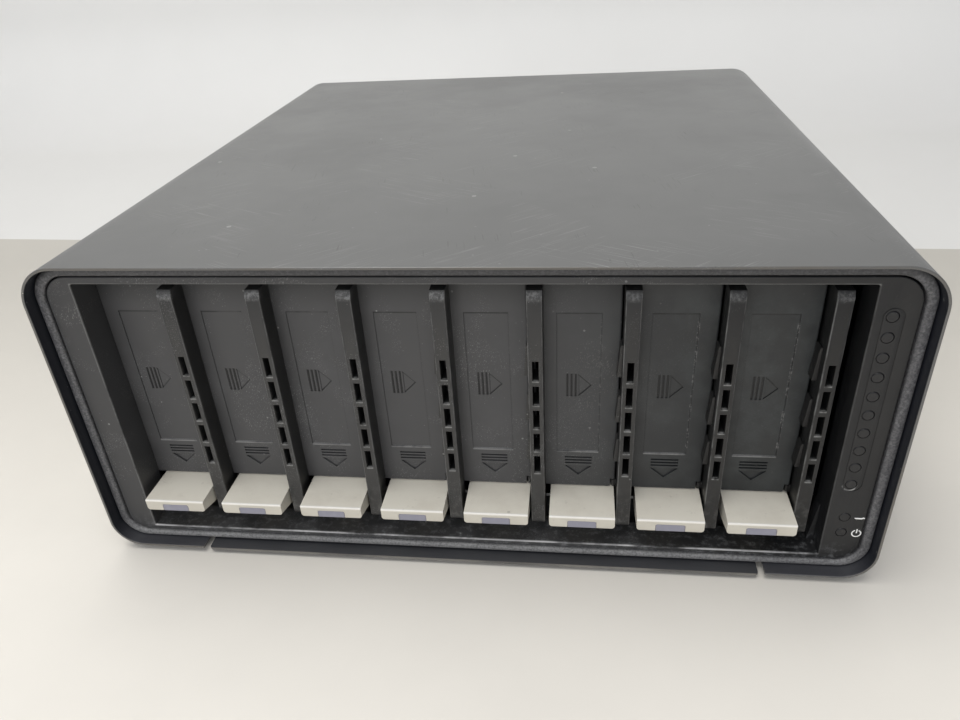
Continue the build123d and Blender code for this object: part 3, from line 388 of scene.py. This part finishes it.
def bezel_wear_and_painted_light(paint):
    """Bezel: painted shade to the right, dust and scuffs on the lower lip, rubbed edges round the opening
    with a painted highlight, one worn lens rim.
    """
    # painted shade: darker towards the right
    paint.blotches(paint.along("X"), 0.02, 0.13, 0.95, (0.0085, 0.0088, 0.0096))
    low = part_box("front_bezel")[0]
    height = paint.along("Z")
    at_sill = paint.ramp(height, low.z + 3 * mm, low.z + 14 * mm, 1.0, 0.0)
    marks = paint.ramp(paint.noise(0.003, 6.0, 0.75), 0.48, 0.66)
    paint.cover(paint.times(at_sill, marks, 0.45), (0.19, 0.195, 0.2))
    face = paint.ramp(paint.along("Y"), low.y + 0.4 * mm, low.y + 0.9 * mm, 1.0, 0.0)
    pale = (0.26, 0.26, 0.25)
    level = paint.times(face, paint.within("X", opening_left - 0.2 * mm, opening_right + 0.2 * mm))
    upright = paint.times(face, paint.within("Z", opening_low - 0.15 * mm, opening_high + 0.2 * mm))
    # pale lines along the opening's edges: rubbed wear with a painted highlight, strongest on the lower
    # edge
    paint.wear_and_light_line("Z", opening_low, 0.45 * mm, (0.45, 0.45, 0.45), 0.85, level, 0.02)
    paint.wear_and_light_line("Z", opening_high, 0.55 * mm, pale, 0.35, level, 0.01)
    paint.wear_and_light_line("X", opening_right, 0.6 * mm, pale, 0.12, upright, 0.01)
    paint.wear_and_light_line("X", opening_left, 0.6 * mm, pale, 0.3, upright, 0.01)
    aside = paint.minus(paint.along("X"), last_lens_x)
    above = paint.minus(height, last_lens_z)
    from_lens = paint.calc("SQRT", paint.calc("ADD", paint.times(aside, aside),
                                              paint.times(above, above)))
    arc = paint.times(paint.ramp(from_lens, 2.1 * mm, 2.3 * mm),
                      paint.ramp(from_lens, 2.6 * mm, 2.9 * mm, 1.0, 0.0),
                      paint.ramp(above, -1.2 * mm, 0.2 * mm, 1.0, 0.0))
    broken = paint.ramp(paint.noise(0.002, 3.0, 0.7), 0.35, 0.55)
    paint.cover(paint.times(arc, broken, 0.8), (0.34, 0.34, 0.33))


def door_dust_and_painted_light(paint):
    """Doors: painted shade to the right and at the top, dustier to the right, a painted highlight along
    the label recess's lower edge and painted shade along its top edge and in the push mark.
    """
    # painted shade: darker towards the right; the same mask keeps the dust to the right
    to_right = paint.ramp(paint.along("X"), 0.0, 0.10)
    paint.cover(paint.times(to_right, 0.9), (0.0150, 0.0168, 0.0174))
    patch = paint.times(to_right, paint.ramp(paint.noise(0.02, 5.0, 0.65), 0.42, 0.66))
    paint.cover(paint.times(patch, 0.16), (0.10, 0.112, 0.112))
    fine = paint.ramp(paint.noise(0.0007, 3.0, 0.7), 0.60, 0.74)
    paint.cover(paint.times(fine, patch, 0.22), (0.2, 0.205, 0.2))
    low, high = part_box("bay_door_1")
    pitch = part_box("bay_door_2")[0].x - low.x
    bay_middle = (low.x + high.x) / 2 + 0.8 * mm
    in_bay = paint.off_nearest(paint.along("X"), bay_middle, pitch)
    label = paint.ramp(paint.off(in_bay, label_shift), label_half - 0.2 * mm, label_half + 0.2 * mm,
                       1.0, 0.0)
    # painted highlight along the label recess's lower edge, which faces up to the light
    paint.wear_and_light_line("Z", label_low - 0.1 * mm, 0.6 * mm, (0.30, 0.30, 0.295), 0.55, label, 0.012)
    # crumbs of dust caught on the recess's right edge, most in the bays to the right
    off_edge = paint.off(in_bay, label_shift + label_half - 0.1 * mm)
    caught = paint.times(paint.ramp(off_edge, 0.2 * mm, 0.55 * mm, 1.0, 0.0), to_right,
                         paint.within("Z", label_low + 2.2 * mm, label_high - 1.7 * mm),
                         paint.ramp(paint.noise(0.0018, 4.0, 0.7), 0.50, 0.62))
    paint.cover(paint.times(caught, 0.45), (0.30, 0.30, 0.29))
    # painted shade along the label recess's top edge and in the push mark
    dirt_and_shade = (0.006, 0.006, 0.0065)
    paint.wear_and_light_line("Z", label_high - 0.1 * mm, 0.5 * mm, dirt_and_shade, 0.8, label, 0.012)
    # painted shade over the top of the door, under the bezel's overhang
    paint.blotches(paint.along("Z"), high.z - 15 * mm, high.z - 3 * mm, 0.6, (0.016, 0.0165, 0.017))
    # painted shade in the push mark: its three bars, and a line along the two slanting sides of its
    # triangle, stronger on the upper side
    mark_middle, bar_middle, bar_pitch, slant = 75.3 * mm, -3.95 * mm, 1.55 * mm, 4.7 * mm
    above_middle = paint.minus(paint.along("Z"), mark_middle)
    rise = paint.calc("ABSOLUTE", above_middle)
    bar = paint.calc("ABSOLUTE", paint.off_nearest(in_bay, bar_middle, bar_pitch))
    bars = paint.times(paint.calc("LESS_THAN", bar, 0.27 * mm),
                       paint.calc("GREATER_THAN", in_bay, -6.1 * mm),
                       paint.calc("LESS_THAN", in_bay, -1.85 * mm),
                       paint.calc("LESS_THAN", rise, 5.0 * mm))
    outward = paint.calc("ADD", paint.calc("DIVIDE", paint.minus(in_bay, -1.3 * mm), slant),
                         paint.calc("DIVIDE", rise, slant))
    side = paint.times(paint.ramp(paint.off(outward, 0.96), 0.04, 0.10, 1.0, 0.0),
                       paint.calc("GREATER_THAN", in_bay, -1.5 * mm),
                       paint.ramp(above_middle, -0.5 * mm, 0.5 * mm, 0.5, 1.0))
    face = paint.ramp(paint.along("Y"), low.y + 0.9 * mm, low.y + 1.1 * mm, 1.0, 0.0)
    paint.cover(paint.times(paint.calc("MAXIMUM", bars, side), face), dirt_and_shade)


def lever_plastic():
    """Pale warm grey ABS, with a painted highlight along its upper front edge and painted shade on the
    face below it.
    """
    paint = Paint("lever_plastic", (0.70, 0.67, 0.58), Roughness=0.42)
    cloud = paint.noise(0.016, 4.0, 0.6)
    paint.set("Base Color", paint.mix(paint.ramp(cloud, 0.4, 0.78), (0.71, 0.675, 0.585),
                                      (0.64, 0.60, 0.515)))
    paint.gloss(cloud, 0.36, 0.5)
    paint.scratches(0.010, 0.0002, (0.4, 0.38, 0.33), 0.3, (0.0, 0.02, 0.5), 0.62)
    paint.specks(0.004, 0.01, (0.2, 0.19, 0.17), 0.35)
    low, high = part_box("release_lever_1")
    front, top = low.y, high.z
    depth, height = paint.along("Y"), paint.along("Z")
    # painted highlight along the upper front edge
    pale_edge = paint.times(paint.ramp(depth, front + 0.5 * mm, front + 0.8 * mm, 1.0, 0.0),
                         paint.ramp(height, top - 0.9 * mm, top - 0.5 * mm), 0.6)
    paint.cover(pale_edge, (0.78, 0.77, 0.74))
    paint.blotches(paint.noise(0.003, 5.0, 0.7), 0.6, 0.72, 0.25, (0.3, 0.27, 0.22))
    # painted shade on the front face below it
    shaded_front = paint.times(paint.ramp(depth, front + 0.15 * mm, front + 0.45 * mm, 1.0, 0.0),
                          paint.ramp(height, top - 1.0 * mm, top - 0.6 * mm, 1.0, 0.0), 0.6)
    paint.cover(shaded_front, (0.42, 0.395, 0.335))
    paint.texture(0.0004, 0.006 * mm, 0.6)
    return paint.material


def insert_plastic():
    """Lavender-grey insert of a lever."""
    paint = Paint("insert_plastic", (0.235, 0.232, 0.275), Roughness=0.42)
    paint.blotches(paint.noise(0.004, 3.0), 0.45, 0.75, 0.5, (0.285, 0.28, 0.33))
    paint.texture(0.0004, 0.006 * mm, 0.5)
    return paint.material


def lens_plastic():
    """Smoked lenses, unlit."""
    paint = Paint("lens_plastic", (0.011, 0.011, 0.012), Roughness=0.34)
    paint.gloss(paint.noise(0.003, 3.0), 0.30, 0.42, 0.35, 0.7)
    paint.texture(0.0006, 0.006 * mm, 0.4)
    return paint.material


def white_print():
    """Ink of the two printed marks, a little worn."""
    paint = Paint("white_print", (0.78, 0.78, 0.76), Roughness=0.55)
    paint.blotches(paint.noise(0.0006, 3.0), 0.6, 0.75, 0.4, (0.4, 0.4, 0.39))
    return paint.material


def bare_steel():
    """Zinc-plated steel with its spangle: cage, power supply, sockets and springs."""
    paint = Paint("bare_steel", (0.50, 0.50, 0.50), Metallic=1.0, Roughness=0.38)
    spangle = paint.part_of(paint.cells(0.006, output="Color"), "X")
    paint.set("Base Color", paint.mix(spangle, (0.42, 0.43, 0.44), (0.58, 0.58, 0.58)))
    paint.gloss(spangle, 0.32, 0.46, 0.0, 1.0)
    paint.scratches(0.02, 0.0003, (0.7, 0.7, 0.7), 0.5)
    return paint.material


def plated_wire():
    """Bright wire of the finger guards, with dull spots."""
    paint = Paint("plated_wire", (0.62, 0.62, 0.62), Metallic=1.0, Roughness=0.22)
    paint.gloss(paint.noise(0.006, 3.0), 0.16, 0.32)
    paint.blotches(paint.noise(0.004, 4.0), 0.6, 0.8, 0.5, (0.35, 0.34, 0.32))
    return paint.material


def screw_steel():
    """Blackened steel of the screws and hinge pins, rubbed bright in places."""
    paint = Paint("screw_steel", (0.09, 0.09, 0.092), Metallic=0.8, Roughness=0.4)
    paint.blotches(paint.noise(0.0015, 3.0), 0.52, 0.7, 0.7, (0.32, 0.32, 0.31))
    return paint.material


def aluminium():
    """Extruded heat sink, brushed along its length."""
    paint = Paint("aluminium", (0.62, 0.63, 0.64), Metallic=1.0, Roughness=0.42)
    brushed = paint.noise(1.0, 3.0, 0.5, paint.stretched((2200, 60, 2200)))
    paint.gloss(brushed, 0.34, 0.5)
    paint.bump(brushed, 0.01 * mm, 0.4)
    return paint.material


def solder_mask():
    """Green board with tracks just visible under the mask."""
    paint = Paint("solder_mask", (0.012, 0.09, 0.035), Roughness=0.35)
    track = paint.cells(0.004, feature="DISTANCE_TO_EDGE")
    paint.cover(paint.ramp(track, 0.05, 0.09, 0.55, 0.0), (0.025, 0.16, 0.06))
    paint.bump(paint.ramp(track, 0.05, 0.09, 1.0, 0.0), 0.03 * mm, 0.6)
    return paint.material


def black_plastic():
    """Drive connectors, fans, mains inlet and switch."""
    paint = Paint("black_plastic", (0.018, 0.018, 0.019), Roughness=0.4)
    paint.gloss(paint.noise(0.012, 3.0), 0.34, 0.5)
    paint.specks(0.004, 0.08, (0.2, 0.2, 0.2), 0.4)
    paint.texture(0.0005, 0.01 * mm, 0.5)
    return paint.material


def foot_rubber():
    """Soft black feet, greyed by dust."""
    paint = Paint("foot_rubber", (0.016, 0.016, 0.016), Roughness=0.85)
    paint.blotches(paint.noise(0.004, 4.0), 0.5, 0.75, 0.5, (0.05, 0.049, 0.047))
    paint.texture(0.0007, 0.03 * mm, 0.6)
    return paint.material


slot_paint = {
    "case_steel": powder_coat(), "panel_steel": panel_coat(), "grained_plastic": grained_plastic(),
    "bezel_plastic": smooth_plastic("bezel_plastic", (0.039, 0.039, 0.0403), 0.42, 0.10, bezel_wear_and_painted_light),
    "divider_plastic": smooth_plastic("divider_plastic", (0.033, 0.0323, 0.0312), 0.45, 0.14,
                                      nose_scuffs_and_painted_light),
    "door_plastic": smooth_plastic("door_plastic", (0.058, 0.0575, 0.0585), 0.46, 0.14, door_dust_and_painted_light),
    "lever_plastic": lever_plastic(), "insert_plastic": insert_plastic(),
    "lens_plastic": lens_plastic(), "rubber": foot_rubber(), "bare_steel": bare_steel(),
    "circuit_board": solder_mask(), "connector_plastic": black_plastic(),
    "black_plastic": black_plastic(), "heat_sink_metal": aluminium(), "plated_wire": plated_wire(),
}
node_slot = {part["node"]: part["material_slot"] for part in frame["record"]["subparts"]}
for node, shown in nodes.items():
    shown.data.materials.clear()
    shown.data.materials.append(slot_paint[node_slot[node]])
screws_paint = screw_steel()
for node in ("screws", "hinge_pins"):
    nodes[node].data.materials[0] = screws_paint


# ---------------------------------------------------------------- mesh building
def new_piece(name, mesh, body, slot, material=None):
    """Shows a mesh as a piece of the object that moves with a body."""
    piece = bpy.data.objects.new(name, mesh)
    bpy.context.scene.collection.objects.link(piece)
    if not mesh.materials:
        mesh.materials.append(material or slot_paint[slot])
    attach(piece, body)
    return piece


def finish_mesh(bm, name, smooth_angle):
    """Turns a bmesh into a mesh with soft shading up to an angle."""
    mesh = bpy.data.meshes.new(name)
    bmesh.ops.recalc_face_normals(bm, faces=bm.faces)
    bm.to_mesh(mesh)
    bm.free()
    mesh.shade_smooth()
    mesh.set_sharp_from_angle(angle=math.radians(smooth_angle))
    return mesh


def body_of_node(node):
    groups = frame["record"]["behaviour"]["bodies"]
    return next(body for body, members in groups.items() if node in members)


def soften(node, width, segments=2, material=None, flat_faces=False):
    """Replaces a CAD node with the same shape, its sharp edges rounded by this width in millimetres."""
    bm = bmesh.new()
    bm.from_mesh(nodes[node].data)
    bmesh.ops.remove_doubles(bm, verts=bm.verts, dist=0.002 * mm)
    bmesh.ops.dissolve_limit(bm, angle_limit=math.radians(0.6), verts=bm.verts, edges=bm.edges)
    mesh = finish_mesh(bm, f"{node}_shape", 60.0)
    piece = new_piece(f"{node}_finished", mesh, body_of_node(node), node_slot[node], material)
    bevel = piece.modifiers.new("edges", "BEVEL")
    bevel.width = width * mm
    bevel.segments = segments
    bevel.limit_method = "ANGLE"
    bevel.angle_limit = math.radians(32)
    bevel.harden_normals = not flat_faces
    if flat_faces:
        weighted = piece.modifiers.new("flat_faces", "WEIGHTED_NORMAL")
        weighted.weight = 100
    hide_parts(node)


def rounded_path(low, high, bottom_radius, top_radius, steps):
    """Points round a rectangle in X and Z, clockwise from the bottom's middle, seen from the front."""
    (left, bottom), (right, top) = low, high
    corners = ((left, bottom, bottom_radius, 270), (left, top, top_radius, 180),
               (right, top, top_radius, 90), (right, bottom, bottom_radius, 0))
    path = [((left + right) / 2, bottom)]
    for x, z, radius, start in corners:
        centre_x = x + radius if x == left else x - radius
        centre_z = z + radius if z == bottom else z - radius
        for step in range(steps + 1):
            angle = math.radians(start - 90 * step / steps)
            path.append((centre_x + radius * math.cos(angle), centre_z + radius * math.sin(angle)))
    return path


def band(outer, inner, profile, closed, name, second=()):
    """Sweeps a closed profile of (share from outer to inner, Y) along two matching paths.

    The profile's sides numbered in second take the mesh's second material."""
    bm = bmesh.new()
    rows = []
    for (outer_x, outer_z), (inner_x, inner_z) in zip(outer, inner):
        row = []
        for share, y in profile:
            x = outer_x + (inner_x - outer_x) * share
            z = outer_z + (inner_z - outer_z) * share
            row.append(bm.verts.new((x, y, z)))
        rows.append(row)
    count = len(rows)
    for index in range(count if closed else count - 1):
        here, there = rows[index], rows[(index + 1) % count]
        for k in range(len(profile)):
            following = (k + 1) % len(profile)
            face = bm.faces.new((here[k], here[following], there[following], there[k]))
            face.material_index = 1 if k in second else 0
    if not closed:
        bm.faces.new(rows[0])
        bm.faces.new(reversed(rows[-1]))
    return finish_mesh(bm, name, 38.0)


# ---------------------------------------------------------------- the case
def make_shell():
    """One folded sheet, open between its two bottom returns, its front edge rounded over."""
    shell_low, shell_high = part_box("outer_shell")
    sheet, round_over, return_end = 1.1 * mm, 0.38 * mm, 115.0 * mm
    top_radius, bottom_radius = 15.2 * mm, 12.3 * mm
    low, high = (shell_low.x, shell_low.z), (shell_high.x, shell_high.z)
    outer = rounded_path(low, high, bottom_radius, top_radius, 20)[1:]
    inner = rounded_path((low[0] + sheet, low[1] + sheet), (high[0] - sheet, high[1] - sheet),
                         bottom_radius - sheet, top_radius - sheet, 20)[1:]
    outer = [(-return_end, low[1])] + outer + [(return_end, low[1])]
    inner = [(-return_end, low[1] + sheet)] + inner + [(return_end, low[1] + sheet)]
    front, back = shell_low.y, shell_high.y
    quarter = [math.radians(22.5 * step) for step in range(5)]
    rounding = [((1 - math.cos(turn)) * round_over / sheet, front + (1 - math.sin(turn)) * round_over)
                for turn in quarter]
    profile = [(0.0, back)]
    profile += [(0.0, front + (back - front) * share) for share in (0.66, 0.33, 0.08)]
    profile += rounding + [(1 - share, y) for share, y in reversed(rounding)]
    profile.append((1.0, back))
    inner_sides = range(len(profile) - 4, len(profile) - 1)
    mesh = band(outer, inner, profile, False, "shell_sheet_shape", inner_sides)
    mesh.materials.append(slot_paint["case_steel"])
    mesh.materials.append(shell_inside_coat())
    piece = new_piece("shell_sheet", mesh, "case", "case_steel")
    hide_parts("outer_shell")


def make_trim_ring():
    """Round-nosed ring whose width differs on each side, as its outer and inner outlines do."""
    low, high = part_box("trim_ring")
    outer = rounded_path((low.x, low.z), (high.x, high.z), 10.9 * mm, 13.8 * mm, 24)
    hole_low, hole_high = (-149.6 * mm, 6.4 * mm), (149.6 * mm, 126.6 * mm)
    inner = rounded_path(hole_low, hole_high, 8.4 * mm, 10.0 * mm, 24)
    nose = 1.1 * mm
    profile = [(0.0, high.y), (0.0, low.y + nose)]
    for step in range(1, 12):
        angle = math.radians(180 * step / 12)
        profile.append(((1 - math.cos(angle)) / 2, low.y + nose * (1 - math.sin(angle) ** 0.7)))
    profile += [(1.0, low.y + nose), (1.0, high.y)]
    mesh = band(outer, inner, profile, True, "trim_ring_shape")
    piece = new_piece("trim_ring_grained", mesh, "case", "grained_plastic")
    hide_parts("trim_ring")


make_shell()
make_trim_ring()
soften("front_bezel", 0.3)
soften("base_plate", 0.25)
for bay in bays:
    soften(f"bay_divider_{bay}", 0.3)
    soften(f"bay_door_{bay}", 0.10, flat_faces=True)
    soften(f"release_lever_{bay}", 0.35, 3)
    soften(f"lever_insert_{bay}", 0.2)
for node, width in (("power_supply", 0.4), ("mains_inlet", 0.2), ("switch_frame", 0.2),
                    ("switch_rocker", 0.3), ("fan_frames", 0.4), ("rear_panel", 0.15),
                    ("rear_sockets", 0.12), ("heat_sink", 0.15), ("rubber_feet", 0.2)):
    soften(node, width)
soften("screws", 0.2, material=screws_paint)


# ---------------------------------------------------------------- printed marks by the status lights
def arc_outline(radius, start, stop, steps):
    """Points on part of a circle, in the units of its radius."""
    return [(radius * math.cos(a), radius * math.sin(a))
            for a in (math.radians(start + (stop - start) * s / steps) for s in range(steps + 1))]


def printed_mark(name, outline, x, z):
    """A thin print on the bezel's face from an outline in millimetres round a middle point."""
    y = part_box("front_bezel")[0].y
    bm = bmesh.new()
    bm.faces.new([bm.verts.new((x + u * mm, y - 0.03 * mm, z + v * mm)) for u, v in outline])
    sides = bmesh.ops.extrude_face_region(bm, geom=bm.faces[:])["geom"]
    moved = [item for item in sides if isinstance(item, bmesh.types.BMVert)]
    bmesh.ops.translate(bm, verts=moved, vec=(0, 0.04 * mm, 0))
    new_piece(name, finish_mesh(bm, f"{name}_shape", 30.0), "case", "lever_plastic", print_paint)


print_paint = white_print()
power_x, power_z = 146.9 * mm, 18.0 * mm + foot_height
activity_x, activity_z = 146.7 * mm, 25.5 * mm + foot_height
arc = arc_outline(1.8, 115, 425, 28)
printed_mark("power_mark_ring", arc + [(u * 0.75, v * 0.75) for u, v in reversed(arc)],
             power_x, power_z)
printed_mark("power_mark_bar", [(-0.23, 0.1), (0.23, 0.1), (0.23, 2.1), (-0.23, 2.1)],
             power_x, power_z)
printed_mark("activity_mark", [(-1.8, -0.1), (-1.2, -0.45), (0.9, -0.45), (1.5, -0.2), (1.9, -0.2),
                               (1.9, 0.25), (1.2, 0.45), (0.9, 0.15), (-1.8, 0.15)],
             activity_x, activity_z)


# ---------------------------------------------------------------- stage, lights and camera
def stage_paint(name, first, last, axis, start, stop, clouding):
    """Matt stage colour that changes along one axis and is a little clouded."""
    paint = Paint(name, first, Roughness=0.6)
    paint.set("Base Color", paint.mix(paint.ramp(paint.along(axis), start, stop), first, last))
    paint.blotches(paint.noise(0.12, 5.0, 0.6), 0.3, 0.7, clouding, (0.3, 0.29, 0.27))
    return paint.material


def stage_sheet(name, edge_points, material):
    """A smooth sheet through pairs of left and right points."""
    mesh = bpy.data.meshes.new(name)
    rows = range(0, len(edge_points) - 2, 2)
    mesh.from_pydata(edge_points, [], [(row, row + 1, row + 3, row + 2) for row in rows])
    mesh.shade_smooth()
    mesh.materials.append(material)
    sheet = bpy.data.objects.new(name, mesh)
    bpy.context.scene.collection.objects.link(sheet)


reach, wall_height = 4, 3
wall_y, cove = 0.62, 0.14
table_left_y, table_right_y = 0.362, 0.006      # the table's far edge, just behind the case
# the floor is painted darker towards the back: painted shade
floor_paint = stage_paint("pale_floor", (0.69, 0.66, 0.605), (0.43, 0.41, 0.37),
                          "Y", -0.27, 0.17, 0.08)
wall_paint = stage_paint("white_wall", (0.59, 0.585, 0.57), (0.74, 0.735, 0.715),
                         "Z", 0.0, cove, 0.03)
far_edge = [(-reach, table_left_y, 0), (reach, table_right_y, 0)]
stage_sheet("floor", [(-reach, -reach, 0), (reach, -reach, 0)] + far_edge, floor_paint)
bend = [math.radians(90 * step / 16) for step in range(17)]
sweep = [(wall_y - cove + cove * math.sin(turn), cove - cove * math.cos(turn)) for turn in bend]
sweep.append((wall_y, wall_height))
stage_sheet("backdrop", far_edge + [(x, y, z) for y, z in sweep for x in (-reach, reach)], wall_paint)


def soft_light(name, place, target, size, power, color, mirrored=True):
    """A rectangular lamp that faces its target, and shows in glossy surfaces if mirrored."""
    data = bpy.data.lights.new(name, "AREA")
    data.shape = "RECTANGLE"
    data.size, data.size_y = size
    data.energy = power
    data.color = color
    light = bpy.data.objects.new(name, data)
    light.location = place
    light.rotation_mode = "QUATERNION"
    light.rotation_quaternion = (Vector(target) - Vector(place)).to_track_quat("-Z", "Y")
    light.visible_glossy = mirrored
    bpy.context.scene.collection.objects.link(light)


soft_light("ceiling", (-0.36, -0.25, 1.9), (0, 0, 0), (1.7, 1.2), 33, (1.0, 0.985, 0.95))
soft_light("front_fill", (-0.25, -1.65, 0.62), (0.0, -0.2, 0.03), (1.1, 0.8), 13,
           (0.98, 0.985, 1.0), mirrored=False)

world = bpy.data.worlds.new("studio")
bpy.context.scene.world = world
world.use_nodes = True
sky = world.node_tree.nodes["Background"]
sky.inputs["Color"].default_value = (0.86, 0.9, 1.0, 1.0)
sky.inputs["Strength"].default_value = 0.42

# the camera is fitted to the edges seen in the photograph
camera_data = bpy.data.cameras.new("camera")
camera_data.lens = 28.4
camera_data.sensor_width = 36.0
camera_data.clip_start = 0.01
camera = bpy.data.objects.new("camera", camera_data)
camera.location = (0.0426, -0.38194, 0.22904)
camera.rotation_euler = [math.radians(a) for a in (59.487, 3.144, 6.823)]
bpy.context.scene.collection.objects.link(camera)
bpy.context.scene.camera = camera
bpy.context.scene.view_settings.view_transform = "Standard"
